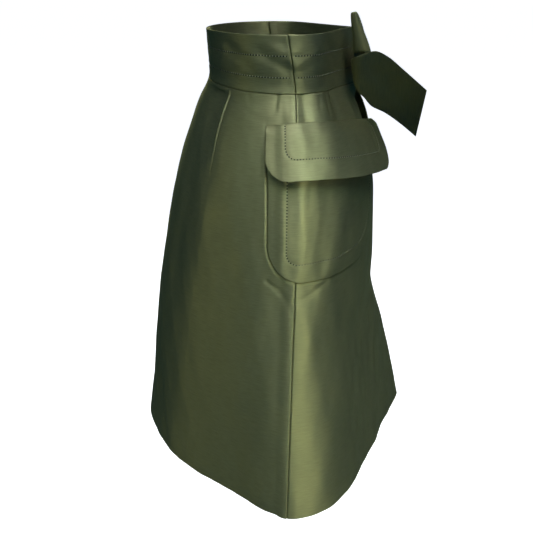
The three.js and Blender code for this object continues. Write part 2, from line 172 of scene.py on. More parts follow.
# outlines of the patch pockets and flaps
pocket = {
    "behindSeam": 35, "beforeSeam": 168, "bottom": 213, "belowFlapTop": 16, "backRadius": 45, "frontRadius": 62,
    "edgeGap": 0.9, "fullness": 3, "wall": 1.6,
    "stitchInset": 23, "stitchBackRadius": 14, "stitchFrontRadius": 44,
}
flap = {
    "behindSeam": 36, "beforeSeam": 176, "topBehind": 32.8, "topSeam": 29.6, "topBefore": 46.7,
    "topLevel": 24, "topBend": 1.15,
    "heightBehind": 58.3, "heightBefore": 60.3, "backRadius": 26, "frontRadius": 32,
    "topGap": 1.3, "topGapBefore": 3.9, "standOff": 5,
    "flareBehind": 9, "flareBefore": 20, "curl": 1.2, "wall": 1.6,
    "stitchInset": 22, "stitchBackRadius": 11, "stitchFrontRadius": 11,
}


def patchEdge(piece, distance, drop, bottom):
    # distance from the rounded edge, the top apart
    sides = np.minimum(distance + piece["behindSeam"], piece["beforeSeam"] - distance)
    edge = np.minimum(sides, bottom - drop)
    for centre, radius, away in ((-piece["behindSeam"] + piece["backRadius"], piece["backRadius"], -1),
                                 (piece["beforeSeam"] - piece["frontRadius"], piece["frontRadius"], 1)):
        inCorner = ((distance - centre) * away > 0) & (drop > bottom - radius)
        fromCentre = np.hypot(distance - centre, drop - (bottom - radius))
        edge = np.where(inCorner, radius - fromCentre, edge)
    return edge


sewnLine = {"dip": 1.4, "dipAt": 0.6, "dipWidth": 1.6, "swell": 0.35, "swellAt": 5.2, "swellWidth": 2.4}


def sewnEdge(drop, distance):
    # where the pocket is sewn down, the panel dips along its edge and swells a little outside it
    edge = patchEdge(pocket, distance, drop, pocket["bottom"])
    dip = sewnLine["dip"] * np.exp(-((edge + sewnLine["dipAt"]) / sewnLine["dipWidth"]) ** 2)
    swell = sewnLine["swell"] * np.exp(-((edge + sewnLine["swellAt"]) / sewnLine["swellWidth"]) ** 2)
    return (swell - dip) * smoothStep(drop, 50, 62)


# creases: which hip, then the drops and the places where each starts and ends, a place being
# the share of the way from the side seam to centre front (+) or centre back (-)
creases = rowsOf("sides top bottom placeTop placeBottom halfWidth height", [
    # the cut's own soft folds, the same on both hips
    ("both", 0, 60, 0.06, 0.07, 8, -2.2),
    ("both", 0, 75, 0.22, 0.2, 14, 2.4),
    ("both", 0, 70, 0.4, 0.37, 11, -2.0),
    ("both", 5, 330, -0.66, -0.72, 26, -3.4),
    ("both", 215, 330, 0.02, 0.1, 16, 2.2),
    ("both", 300, 550, 0.86, 0.62, 30, 2.5),
    # finer ones, uneven from hip to hip
    ("right", 0, 34, 0.3, 0.27, 3.5, -0.9),
    ("left", 0, 28, 0.26, 0.28, 3.2, -0.8),
    ("right", 0, 26, -0.14, -0.16, 5, -0.7),
    ("left", 0, 30, -0.2, -0.17, 5, -0.7),
    ("right", 20, 95, -0.72, -0.63, 7, 0.9),
    ("left", 24, 80, -0.7, -0.64, 6, 0.8),
])
# long soft waves left in the cloth by wear: amplitude, wavelengths round and down, phase
waves = rowsOf("amount round down turn", [
    (0.35, 92, 310, 0.3),
    (0.28, 57, -240, 1.9),
    (0.16, 38, 150, 4.1),
    (0.1, 24, -95, 2.6),
    (0.05, 13, 61, 5.2),
])
# pulled lines that run aslant: the points they pass, each (mm in front of the side seam, mm below the band)
pulls = rowsOf("side path halfWidth height", [
    ("right", [(-2, 239), (18, 232), (44, 219)], 3.0, -1.1),
    ("right", [(-36, 214), (-20, 224), (-11, 236), (-4, 252)], 3.0, -1.0),
    ("right", [(58, 216), (74, 226), (82, 240)], 6, -0.5),
    ("right", [(259, 323), (240, 338), (227, 353), (216, 395), (217, 443), (222, 482)], 12, 1.8),
    ("right", [(-144, 101), (-128, 90)], 6, 0.9),
    ("right", [(33, -1), (31, 17)], 2.0, -0.8),
    ("right", [(-22, -1), (-25, 15)], 2.4, -0.7),
    ("right", [(62, -1), (60, 12)], 2.2, -0.5),
    ("right", [(-62, -1), (-58, 13)], 2.6, -0.5),
    ("right", [(-38, 30), (-58, 24), (-74, 12)], 4, -0.5),
    ("left", [(0, 236), (20, 230), (38, 216)], 3.2, -1.0),
    ("left", [(-32, 216), (-16, 226), (-6, 242)], 3.0, -0.9),
    ("left", [(252, 330), (234, 348), (222, 372), (215, 415), (218, 470)], 13, 1.6),
    ("left", [(-150, 97), (-130, 92)], 6, 0.8),
    ("left", [(26, -1), (27, 15)], 2.2, -0.7),
    ("left", [(-30, -1), (-28, 18)], 2.4, -0.7),
    ("left", [(70, -1), (66, 14)], 2.4, -0.6),
    ("left", [(-40, 31), (-62, 22)], 4, -0.5),
])


# the same for the waistband, whose drops are negative
bandPulls = rowsOf("side path halfWidth height", [
    ("right", [(-30, -62), (-14, -52), (-2, -42)], 7, 1.0),
    ("right", [(-36, -47), (-18, -35), (-3, -27)], 6, -1.2),
    ("right", [(3, -33), (20, -41), (37, -50)], 4, 0.8),
    ("right", [(3, -24), (22, -31), (41, -36)], 4, -0.7),
    ("right", [(5, -11), (27, -15), (46, -13)], 4, 0.5),
    ("right", [(62, -62), (80, -40), (90, -16)], 11, -1.2),
    ("right", [(-84, -52), (-62, -38), (-48, -20)], 10, -0.9),
    ("right", [(-62, -60), (-44, -30), (-40, -12)], 8, 0.5),
    ("right", [(-112, -20), (-96, -46)], 9, 0.7),
    ("left", [(-26, -60), (-12, -48), (-2, -36)], 7, 0.9),
    ("left", [(-34, -44), (-20, -34), (-4, -22)], 6, -1.0),
    ("left", [(4, -30), (18, -42), (30, -52)], 4.5, 0.7),
    ("left", [(4, -20), (24, -26), (44, -28)], 4.5, -0.7),
    ("left", [(56, -58), (72, -40), (86, -20)], 11, -1.0),
    ("left", [(-90, -54), (-68, -34), (-54, -18)], 10, -0.8),
    ("left", [(-108, -24), (-92, -44)], 9, 0.6),
])


def creaseHeight(drop, place, length, side):
    height = np.zeros_like(place)
    for crease in creases:
        if crease["sides"] not in ("both", side):
            continue
        share = (drop - crease["top"]) / (crease["bottom"] - crease["top"])
        centre = crease["placeTop"] + (crease["placeBottom"] - crease["placeTop"]) * share
        off = (place - centre) * length / crease["halfWidth"]
        starts = 1 if crease["top"] < 10 else smoothStep(share, 0, 0.3)
        ends = 1 if crease["bottom"] >= cut["skirtLength"] else 1 - smoothStep(share, 0.55, 1)
        here = (share >= 0) & (share <= 1) & (place * crease["placeBottom"] >= 0)
        height += np.where(here, crease["height"] * np.exp(-off * off) * starts * ends, 0)
    return height


def fromPath(distance, drop, path):
    # how far each point lies from a line through points
    away = np.full(np.broadcast(distance, drop).shape, 1e9)
    for (x0, y0), (x1, y1) in zip(path[:-1], path[1:]):
        dx, dy = x1 - x0, y1 - y0
        share = np.clip(((distance - x0) * dx + (drop - y0) * dy) / (dx * dx + dy * dy + 1e-9), 0, 1)
        away = np.minimum(away, np.hypot(distance - x0 - share * dx, drop - y0 - share * dy))
    return away


def pullHeight(drop, distance, side, table=pulls):
    height = np.zeros(np.broadcast(drop, distance).shape)
    for pull in table:
        if pull["side"] == side:
            away = fromPath(distance, drop, pull["path"])
            height += pull["height"] * np.exp(-(away / pull["halfWidth"]) ** 2)
    return height


def waviness(drop, distance, side):
    turnSide = 0 if side == "right" else 2.2
    total = np.zeros_like(distance)
    for wave in waves:
        phase = 2 * math.pi * (distance / wave["round"] + drop / wave["down"]) + wave["turn"] + turnSide
        total += wave["amount"] * np.sin(phase)
    return total


# the side seam stands up a little over its allowances: the cloth leaves it at an angle on both sides
seamRidge = {"height": 2.0, "toFront": 14, "flatBack": 8, "endBack": 18, "top": 2, "full": 30}


def ridgeHeight(drop, distance, soften):
    off = np.sqrt(distance ** 2 + soften ** 2) - soften
    before = np.exp(-off / seamRidge["toFront"])
    behind = 1 - smoothStep(off, seamRidge["flatBack"], seamRidge["endBack"])
    top = smoothStep(drop, seamRidge["top"], seamRidge["full"])
    return seamRidge["height"] * np.where(distance < 0, behind, before) * top


def clothPoints(drop, distance, lift, side, soften=0.5, follow=1):
    # points of the outer face, moved out by lift along their level's own normal; follow is how much of the
    # panel's creases a piece over it takes
    drop, distance, lift = np.broadcast_arrays(*(np.asarray(value, float) for value in (drop, distance, lift)))
    row = np.clip(drop, topDrop, cut["skirtLength"]) - topDrop
    r = np.minimum(row.astype(int), len(shape["x"]) - 2)
    downShare = row - r
    length = np.where(distance < 0, reach(drop, "toBack"), reach(drop, "toFront"))
    place = np.clip(distance / length, -1, 1)
    column = (place + 1) / 2 * (len(tableShares) - 1)
    c = np.minimum(column.astype(int), len(tableShares) - 2)
    roundShare = column - c

    def pick(key):
        table = shape[key]
        upper = table[r, c] * (1 - roundShare) + table[r, c + 1] * roundShare
        lower = table[r + 1, c] * (1 - roundShare) + table[r + 1, c + 1] * roundShare
        return upper * (1 - downShare) + lower * downShare
    relief = creaseHeight(drop, place, length, side) * follow
    relief = relief + waviness(drop, distance, side) * smoothStep(drop, 0, 60)
    if follow == 1:
        relief = relief + pullHeight(drop, distance, side) + sewnEdge(drop, distance)
    relief = relief + ridgeHeight(drop, distance, soften)
    out = lift + np.where(drop >= 0, relief, 0)
    x, y = pick("x") + pick("nx") * out, pick("y") + pick("ny") * out
    return np.stack([x if side == "left" else -x, y, heightAt(drop, y)], axis=-1)


def roll(fromEdge, radius):
    # how far the cloth has turned in at a distance from its folded or seamed edge
    inside = radius - np.clip(fromEdge, 0, radius)
    return radius - np.sqrt(np.clip(radius ** 2 - inside ** 2, 0, None))


def spaced(start, end, spacing, fine=(0, 0.35, 0.8, 1.5, 2.6)):
    # even steps, with a few fine ones at both ends
    inner = np.linspace(start + fine[-1], end - fine[-1], max(2, round((end - start) / spacing)))
    return np.concatenate([start + np.array(fine[:-1]), inner, end - np.array(fine[:-1][::-1])])


def selectOnly(piece):
    bpy.ops.object.select_all(action="DESELECT")
    bpy.context.view_layer.objects.active = piece
    piece.select_set(True)


def setSmooth(piece, angle=50):
    selectOnly(piece)
    bpy.ops.object.shade_smooth_by_angle(angle=math.radians(angle))
    piece.select_set(False)


def newPiece(name, points, faces):
    # a piece of satin from points in millimetres
    mesh = bpy.data.meshes.new(name)
    mesh.from_pydata((points.reshape(-1, 3) * mm).tolist(), [], faces)
    mesh.validate()
    piece = bpy.data.objects.new(name, mesh)
    bpy.context.scene.collection.objects.link(piece)
    mesh.materials.append(satin)
    return piece


def mapCloth(mesh, uvPoints):
    layer = mesh.uv_layers.new(name="cloth")
    corners = np.zeros(len(mesh.loops), np.int32)
    mesh.loops.foreach_get("vertex_index", corners)
    layer.data.foreach_set("uv", uvPoints[corners].reshape(-1).astype(np.float32))


def faceOutwards(mesh, mergeWithin=0):
    solid = bmesh.new()
    solid.from_mesh(mesh)
    if mergeWithin:
        bmesh.ops.remove_doubles(solid, verts=solid.verts, dist=mergeWithin)
    bmesh.ops.recalc_face_normals(solid, faces=solid.faces)
    solid.to_mesh(mesh)
    solid.free()


def register(piece, node):
    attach(piece, "root")
    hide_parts(node)
    return piece


def gridLengths(grid):
    # how far each point lies round its row, from the row's middle
    steps = np.linalg.norm(np.diff(grid, axis=1), axis=2)
    lengths = np.concatenate([np.zeros((len(grid), 1)), np.cumsum(steps, axis=1)], axis=1)
    return lengths - lengths[:, [grid.shape[1] // 2]]


def meshFromGrid(name, grid, downs):
    # quads between the points of a grid, with a UV map in metres of cloth: u round, v down
    rows, columns = grid.shape[:2]
    index = np.arange(rows * columns).reshape(rows, columns)
    a, b, c, d = index[:-1, :-1], index[1:, :-1], index[1:, 1:], index[:-1, 1:]
    faces = np.stack([a, b, c, d], axis=-1).reshape(-1, 4)
    middle = grid[rows // 2, columns // 2]
    down = grid[rows // 2 + 1, columns // 2] - middle
    along = grid[rows // 2, columns // 2 + 1] - middle
    if np.dot(np.cross(down, along)[:2], middle[:2]) < 0:
        faces = faces[:, ::-1]
    piece = newPiece(name, grid, faces.tolist())
    lengths = gridLengths(grid)
    down = np.broadcast_to(np.asarray(downs, float).reshape(rows, -1), lengths.shape)
    mapCloth(piece.data, np.stack([lengths, -down], -1).reshape(-1, 2) * mm)
    return piece


def makeSheet(name, grid, thickness, downs, node, even=True):
    # even keeps the wall as thick at a fold, but can throw out a spike where a row turns sharply
    piece = meshFromGrid(name, grid, downs)
    shell = piece.modifiers.new("Solidify", "SOLIDIFY")
    shell.thickness = thickness * mm
    shell.offset = -1
    shell.use_even_offset = even
    shell.use_quality_normals = True
    selectOnly(piece)
    bpy.ops.object.modifier_apply(modifier=shell.name)
    setSmooth(piece)
    return register(piece, node)


def colour(hexValue):
    channels = [int(hexValue[i:i + 2], 16) / 255 for i in (1, 3, 5)]
    return tuple(c / 12.92 if c <= 0.04045 else ((c + 0.055) / 1.055) ** 2.4 for c in channels) + (1.0,)


def addNode(tree, kind, settings=None, inputs=None, links=None):
    node = tree.nodes.new(kind)
    for key, value in (settings or {}).items():
        setattr(node, key, value)
    for key, value in (inputs or {}).items():
        node.inputs[key].default_value = value
    for key, output in (links or {}).items():
        tree.links.new(output, node.inputs[key])
    return node


# Heavy duchess satin, polyester, piece-dyed olive. Long floats lie side by side over fine weft cords, so the
# light runs in soft vertical bands, warm where it strikes and green-black where it doesn't, over a faint
# horizontal rib. The real rib is 0.4 mm; it is drawn at 1.6 mm so that it shows.
satinLook = {
    "base": "#7c7c5c",
    "slub": "#727355",
    "tint": "#c9c796",
    "metallic": 0.85,
    "roughness": 0.6,
    "anisotropy": 0.6,
    "ribSpacing": 1.6,
    "ribHeight": 0.01,
    "slubLength": 16,
    "slubWidth": 1.1,
    "slubHeight": 0.013,
    "crumple": 14,
    "crumpleHeight": 0.22,
    "sheen": 0.12,
}


def satinMaterial(name, look):
    material = bpy.data.materials.new(name)
    material.use_nodes = True
    tree = material.node_tree
    tree.nodes.clear()
    output = addNode(tree, "ShaderNodeOutputMaterial")
    uv = addNode(tree, "ShaderNodeUVMap", {"uv_map": "cloth"})
    # horizontal ribs: bands across v, a little wandering
    ribMap = addNode(tree, "ShaderNodeMapping", inputs={"Scale": (8, 1 / (look["ribSpacing"] * mm) / 20, 1)},
                     links={"Vector": uv.outputs["UV"]})
    rib = addNode(tree, "ShaderNodeTexWave", {"wave_type": "BANDS", "bands_direction": "Y", "wave_profile": "SIN"},
                  {"Scale": math.pi / 3.2, "Distortion": 1.2, "Detail": 2.0, "Detail Scale": 1.5},
                  {"Vector": ribMap.outputs["Vector"]})
    # slubs are thicker threads, long across and thin down; patches are handling marks, where the floats lie
    # a little differently; crumple is soft dents a finger wide, left by handling
    crumpleScale = 1 / (look["crumple"] * mm)
    noises = {}
    for key, scale, detail, rough in (
            ("slub", (1 / (look["slubLength"] * mm), 1 / (look["slubWidth"] * mm), 1), 3.0, 0.6),
            ("patches", (26, 17, 1), 4.0, 0.55),
            ("crumple", (crumpleScale, 0.7 * crumpleScale, 1), 1.0, 0.4)):
        place = addNode(tree, "ShaderNodeMapping", inputs={"Scale": scale}, links={"Vector": uv.outputs["UV"]})
        noise = addNode(tree, "ShaderNodeTexNoise", {"noise_dimensions": "2D"},
                        {"Scale": 1.0, "Detail": detail, "Roughness": rough}, {"Vector": place.outputs["Vector"]})
        noises[key] = noise.outputs["Fac"]
    tone = addNode(tree, "ShaderNodeMix", {"data_type": "RGBA"},
                   {"A": colour(look["slub"]), "B": colour(look["base"])})
    toneRamp = addNode(tree, "ShaderNodeMapRange", inputs={"From Min": 0.3, "From Max": 0.62},
                       links={"Value": noises["slub"]})
    tree.links.new(toneRamp.outputs["Result"], tone.inputs["Factor"])
    gloss = addNode(tree, "ShaderNodeMapRange",
                    inputs={"From Min": 0.3, "From Max": 0.7, "To Min": look["roughness"] - 0.05,
                            "To Max": look["roughness"] + 0.06},
                    links={"Value": noises["patches"]})
    normal = None
    for height, amount in ((noises["crumple"], look["crumpleHeight"]), (rib.outputs["Fac"], look["ribHeight"]),
                           (noises["slub"], look["slubHeight"])):
        under = {"Normal": normal} if normal else {}
        bump = addNode(tree, "ShaderNodeBump", inputs={"Strength": 1.0, "Distance": amount * mm},
                       links={"Height": height, **under})
        normal = bump.outputs["Normal"]
    tangent = addNode(tree, "ShaderNodeTangent", {"direction_type": "UV_MAP", "uv_map": "cloth"})
    shader = addNode(tree, "ShaderNodeBsdfPrincipled",
                     inputs={"Metallic": look["metallic"], "IOR": 1.5, "Anisotropic": look["anisotropy"],
                             "Anisotropic Rotation": 0.25, "Specular Tint": colour(look["tint"]),
                             "Sheen Weight": look["sheen"], "Sheen Roughness": 0.4,
                             "Sheen Tint": colour("#6f7550")},
                     links={"Base Color": tone.outputs["Result"], "Roughness": gloss.outputs["Result"],
                            "Normal": normal, "Tangent": tangent.outputs["Tangent"]})
    tree.links.new(shader.outputs["BSDF"], output.inputs["Surface"])
    return material


satin = satinMaterial("duchessSatinOlive", satinLook)

# Polyester sewing thread in the same olive: a smooth filament with a small bright glint on each stitch.
# the near-black needle-hole colour is painted shade, standing in for the shade inside each hole
threadLook = {"colour": "#8d8e6c", "roughness": 0.35, "holeShade": "#090b07"}


def plainMaterial(name, hexValue, roughness):
    material = bpy.data.materials.new(name)
    material.use_nodes = True
    tree = material.node_tree
    shader = tree.nodes["Principled BSDF"]
    coord = addNode(tree, "ShaderNodeTexCoord")
    grain = addNode(tree, "ShaderNodeTexNoise", inputs={"Scale": 900.0, "Detail": 2.0},
                    links={"Vector": coord.outputs["Object"]})
    dark = tuple(c * 0.7 for c in colour(hexValue)[:3]) + (1.0,)
    tone = addNode(tree, "ShaderNodeMix", {"data_type": "RGBA"}, {"A": dark, "B": colour(hexValue)},
                   {"Factor": grain.outputs["Fac"]})
    tree.links.new(tone.outputs["Result"], shader.inputs["Base Color"])
    shader.inputs["Roughness"].default_value = roughness
    return material


thread = plainMaterial("polyesterThreadOlive", threadLook["colour"], threadLook["roughness"])
# painted shade: near-black marks put where the needle holes' shade falls
paintedHoleShade = plainMaterial("needleHoleShade", threadLook["holeShade"], 0.9)
print("materials made")


# front panel and its inverted pleat
pleat = {"halfMouth": 2, "depthTop": 22, "depthHem": 50, "spread": 1.8, "foldRadius": 1.6}
gape = {"setBack": 14, "aside": 9, "from": 1, "full": 22, "fade": 62, "closed": 150, "reach": 70,
        "lip": 1.5, "lipWidth": 3.2, "lipFade": 58, "lipEnd": 70, "hollow": 20}
panelDrops = np.concatenate([[-8, -3, -0.6, 0.15, 0.5, 1.0, 1.7, 2.7], np.arange(4.2, 200, 2.9),
                             np.arange(202, 223, 1.5), np.arange(224, 280, 3), np.arange(283, 546, 4.3),
                             [547.5, 549, 549.6, 550]])
# seam allowances: how far they lap behind the next piece, and the ridge they make where they are pressed back
allowance = {"lap": (9, 5, 2, 0.3), "clear": 0.35, "ridgeWidth": 9, "ridge": 0.5}


def lapLift(thickness):
    return -(thickness + cut["seamRoll"] + allowance["clear"])


def topLap(drop):
    # the panels' upper edge turns in at the waist seam and runs up behind the band
    if drop < 0:
        return lapLift(cut["bandThickness"])
    return -roll(drop - 0.15, cut["seamRoll"]) - roll(cut["skirtLength"] - drop, 0.5)


def bend(start, corner, end, count):
    t = np.linspace(0, 1, count)[:, None]
    return (1 - t) ** 2 * start + 2 * t * (1 - t) * corner + t ** 2 * end


def openShare(drop):
    # how far the pleat gapes on the right half, under the bow
    return smoothStep(drop, gape["from"], gape["full"]) * (1 - smoothStep(drop, gape["fade"], gape["closed"]))


def frontHalf(drop, side):
    toFront = reach(drop, "toFront")
    gap = cut["seamGap"] / 2
    shares = np.unique(np.concatenate([spaced(0, 250, 2.9) / 250, np.linspace(0.56, 0.74, 27)]))
    distances = gap + (toFront - gap) * shares
    lift = topLap(drop) - roll(distances - gap, cut["seamRoll"])
    if side == "right":
        lip = 1 - smoothStep(toFront - distances, 0.8, gape["lipWidth"])
        lasting = 1 - smoothStep(drop, gape["lipFade"], gape["lipEnd"])
        lift = lift + gape["lip"] * lip * openShare(drop) * lasting
    points = clothPoints(drop, distances, lift, side)
    sign = 1 if side == "left" else -1
    points[:, 0] += sign * pleat["halfMouth"] * distances / toFront
    if side == "right":
        share = openShare(drop) * (1 - smoothStep(toFront - distances, 0, gape["reach"]))
        points[:, 0] -= gape["aside"] * share
        points[:, 1] += gape["setBack"] * share
    return points


def frontRow(drop):
    right, left = frontHalf(drop, "right"), frontHalf(drop, "left")[::-1]
    depth = pleat["depthTop"] + (pleat["depthHem"] - pleat["depthTop"]) * drop / cut["skirtLength"]
    rightFold, leftFold = right[-1], left[0]
    deepest, z = leftFold[1] + depth, leftFold[2]
    opened = openShare(drop)
    hollow = gape["hollow"] * opened
    corners = np.array([
        rightFold,
        [rightFold[0] - pleat["spread"], rightFold[1] * 0.6 + deepest * 0.4, rightFold[2] * 0.6 + z * 0.4],
        [rightFold[0] - pleat["spread"], rightFold[1] * 0.2 + deepest * 0.8, z],
        [rightFold[0] + 0.6, deepest, z],
        [leftFold[0] - 0.6 + hollow, deepest, z],
        [leftFold[0] + pleat["spread"] + hollow, leftFold[1] + 0.7 * depth * (1 - opened) + 5.5 * opened, z],
        [leftFold[0] + pleat["spread"], leftFold[1] + 0.35 * depth * (1 - opened) + 2.6 * opened, z],
        leftFold,
    ])
    r = pleat["foldRadius"]

    def towards(a, b, far):
        step = b - a
        return a + step / np.linalg.norm(step) * far
    rightTurn = bend(towards(rightFold, right[-8], r), rightFold, towards(rightFold, corners[1], r), 6)
    leftTurn = bend(towards(leftFold, corners[6], r), leftFold, towards(leftFold, left[7], r), 6)
    keepRight = right[np.linalg.norm(right - rightFold, axis=1) > r * 1.4]
    keepLeft = left[np.linalg.norm(left - leftFold, axis=1) > r * 1.4]
    return keepRight, rightTurn, corners[1:7], leftTurn, keepLeft


def frontGrid():
    rows = [frontRow(drop) for drop in panelDrops]
    fewest = min(min(len(row[0]), len(row[4])) for row in rows)
    grid = []
    for keepRight, rightTurn, under, leftTurn, keepLeft in rows:
        walls = [under[0], under[0] * 0.5 + under[1] * 0.5, under[1], under[2],
                 under[3], under[4], under[4] * 0.5 + under[5] * 0.5, under[5]]
        grid.append(np.concatenate([keepRight[:fewest], rightTurn, walls, leftTurn, keepLeft[-fewest:]]))
    return np.array(grid)


front = makeSheet("frontPanel", frontGrid(), cut["panelThickness"], panelDrops, "front")
print("front panel made", len(front.data.polygons))


# back panels with their darts
dart = {"length": 104, "placeTop": -0.52, "placeBottom": -0.5, "ridge": 1.0, "ridgeWidth": 4.5,
        "groove": 0.9, "grooveWidth": 1.2, "pucker": 0.8}


def dartHeight(drop, place, length):
    # the dart's intake is pressed towards centre back: a soft ridge behind its line and a nick along it
    share = min(max(drop, 0) / dart["length"], 1)
    line = dart["placeTop"] + (dart["placeBottom"] - dart["placeTop"]) * share
    behind = (line - place) * length
    strength = (1 - share ** 3) * smoothStep(drop, 0.5, 8)
    fall = np.exp(-(np.clip(behind, 0, None) / dart["ridgeWidth"]) ** 2)
    ridge = dart["ridge"] * smoothStep(behind, -0.6, 0.9) * fall
    nick = -dart["groove"] * np.exp(-(behind / dart["grooveWidth"]) ** 2)
    puckerAt = np.exp(-((drop - dart["length"]) / 7) ** 2 - (behind / 5) ** 2)
    return (ridge + nick) * strength - dart["pucker"] * puckerAt


def pastSeam(drop, side, thickness):
    # the allowance that laps forwards behind the front, from its raw edge to the seam
    ahead = np.array(allowance["lap"], float)
    return clothPoints(drop, ahead, lapLift(thickness) + np.array([0, 0, 0, 0.3]), side)


def pastCentre(drop, side, thickness):
    # the allowance that laps over centre back, from the seam to its raw edge
    past = np.array(allowance["lap"][::-1], float)
    points = clothPoints(drop, past - reach(drop, "toBack"), lapLift(thickness) + np.array([0.3, 0, 0, 0]), side)
    points[:, 0] *= -1
    return points


def withLaps(points, drop, side, thickness):
    # the left piece laps over centre back, and both lap behind the front
    parts = [pastSeam(drop, side, thickness), points]
    if side == "left":
        parts.append(pastCentre(drop, side, thickness))
    return np.concatenate(parts)


def backRow(drop, side):
    toBack = reach(drop, "toBack")
    gap = cut["seamGap"] / 2
    dartPlace = 0.51
    shares = np.unique(np.concatenate([
        spaced(0, 250, 2.9) / 250,
        dartPlace + np.linspace(-0.05, 0.06, 40),
        np.linspace(0.1, 0.21, 21),
    ]))
    distances = -gap - (toBack - gap) * shares
    fromSide, fromCentre = -gap - distances, toBack + distances
    lift = topLap(drop) - roll(fromSide, cut["seamRoll"]) - roll(fromCentre, cut["seamRoll"])
    if drop > 0:
        ridgeEnd = allowance["ridgeWidth"]
        lift = lift + allowance["ridge"] * (1 - smoothStep(fromSide, ridgeEnd - 3, ridgeEnd))
        lift = lift + dartHeight(drop, distances / toBack, toBack)
    points = clothPoints(drop, distances, lift, side)
    points[:, 0] += (gap if side == "left" else -gap) * shares
    return withLaps(points, drop, side, cut["panelThickness"])


for side in ("left", "right"):
    grid = np.array([backRow(drop, side) for drop in panelDrops])
    makeSheet("backPanel" + side.title(), grid, cut["panelThickness"], panelDrops, "back_" + side)


# waistband
band = {
    "stitchRows": (-44.5, -19.5),
    "pull": 0.3,            # how far a row of stitching draws the cloth in
    "pullWidth": 2.4,
    "pucker": 0.4,
    "buckle": 0.7,          # the soft buckling between the rows
    "dents": 0.45,          # shorter slanting dents, most near the side seams
}
bandDrops = np.concatenate([[-68, -67.7, -67.2, -66.5], np.arange(-65.2, -3, 1.7), [-2.6, -1.7, -0.9, -0.4, -0.15]])


def bandLift(drop, distance, side):
    turnSide = 0.7 if side == "right" else 3.3
    ripple = np.sin(distance / 5.3 + turnSide) * 0.6 + np.sin(distance / 8.9 + 2 * turnSide) * 0.6
    lift = -roll(drop + cut["bandHeight"], 1.0) - roll(-0.15 - drop, cut["seamRoll"])
    for row in band["stitchRows"]:
        near = np.exp(-((drop - row) / band["pullWidth"]) ** 2)
        wide = np.exp(-((drop - row) / 7.5) ** 2)
        lift = lift - band["pull"] * near + band["pucker"] * wide * ripple * (1 - near)
    buckle = np.sin(distance / 21 + drop / 13 + turnSide) * np.sin(distance / 34 - drop / 24 + 2.4 * turnSide)
    slant = np.sin((distance + 0.8 * drop) / 6.5 + turnSide) * np.sin((distance - 1.3 * drop) / 11 + 1.7 * turnSide)
    dents = band["dents"] * slant * np.exp(-((np.abs(distance) - 22) / 24) ** 2)
    calm = smoothStep(drop, -66, -52) * (1 - smoothStep(drop, -14, -2))
    pulled = pullHeight(drop, distance, side, bandPulls)
    return lift + (band["buckle"] * buckle + dents + pulled) * calm


def bandBackRow(drop, side):
    toBack = reach(drop, "toBack")
    gap = cut["seamGap"] / 2
    distances = -(gap + (toBack - 2 * gap) * spaced(0, 160, 2.0) / 160)
    lift = bandLift(drop, distances, side) - roll(-gap - distances, cut["seamRoll"])
    lift = lift - roll(toBack - gap + distances, cut["seamRoll"])
    lift = lift + 0.35 * (1 - smoothStep(-distances, 4, 6))
    points = clothPoints(drop, distances, lift, side)
    return withLaps(points, drop, side, cut["bandThickness"])


def bandFrontRow(drop):
    gap = cut["seamGap"] / 2
    toFront = reach(drop, "toFront")
    distances = gap + (toFront - gap) * spaced(0, 160, 2.0) / 160
    turn = roll(distances - gap, cut["seamRoll"])
    lifts = {side: bandLift(drop, distances, side) - turn for side in ("right", "left")}
    middle = (lifts["right"] + lifts["left"]) / 2
    atCentre = smoothStep(distances, toFront - 16, toFront - 2)
    halves = {}
    for side in ("right", "left"):
        lift = lifts[side] * (1 - atCentre) + middle * atCentre
        halves[side] = clothPoints(drop, distances, lift, side)
    return np.concatenate([halves["right"], halves["left"][::-1][1:]])


bandFront = makeSheet("waistbandFront", np.array([bandFrontRow(drop) for drop in bandDrops]), cut["bandThickness"],
                      bandDrops, "band_front", even=False)
for side in ("left", "right"):
    grid = np.array([bandBackRow(drop, side) for drop in bandDrops])
    makeSheet("waistbandBack" + side.title(), grid, cut["bandThickness"], bandDrops,
                                "band_back_" + side)
print("waistband made")


# patch pockets and flaps
def flapTop(distance):
    behind = np.maximum(-distance, 0) / flap["behindSeam"]
    before = np.maximum(distance - flap["topLevel"], 0) / (flap["beforeSeam"] - flap["topLevel"])
    rise = (flap["topBehind"] - flap["topSeam"]) * behind
    return flap["topSeam"] + rise + (flap["topBefore"] - flap["topSeam"]) * before ** flap["topBend"]


def patchRise(piece, distance):
    return np.maximum(roll(distance + piece["behindSeam"], piece["backRadius"]),
                      roll(piece["beforeSeam"] - distance, piece["frontRadius"]))


def flapHeight(distance):
    across = (distance + flap["behindSeam"]) / (flap["behindSeam"] + flap["beforeSeam"])
    return flap["heightBehind"] + (flap["heightBefore"] - flap["heightBehind"]) * across


def pocketTop(distance):
    return flapTop(distance) + pocket["belowFlapTop"]


def pocketLift(distance, share):
    across = (distance + pocket["behindSeam"]) / (pocket["behindSeam"] + pocket["beforeSeam"])
    full = np.sin(math.pi * np.clip(across, 0, 1)) ** 0.6 * np.cos(math.pi / 2 * share ** 3)
    return pocket["edgeGap"] + pocket["fullness"] * full + pocket["wall"]


def flapLift(distance, share):
    across = (distance + flap["behindSeam"]) / (flap["behindSeam"] + flap["beforeSeam"])
    flare = flap["flareBehind"] + (flap["flareBefore"] - flap["flareBehind"]) * smoothStep(across, 0.05, 0.8)
    standing = flap["standOff"] * np.sin(math.pi / 2 * np.clip(share * 5, 0, 1))
    rise = patchRise(flap, distance)
    gap = flap["topGap"] + (flap["topGapBefore"] - flap["topGap"]) * smoothStep(across, 0.8, 1)
    return gap + standing + flare * (1 - rise / flapHeight(distance)) * share ** flap["curl"] + flap["wall"]


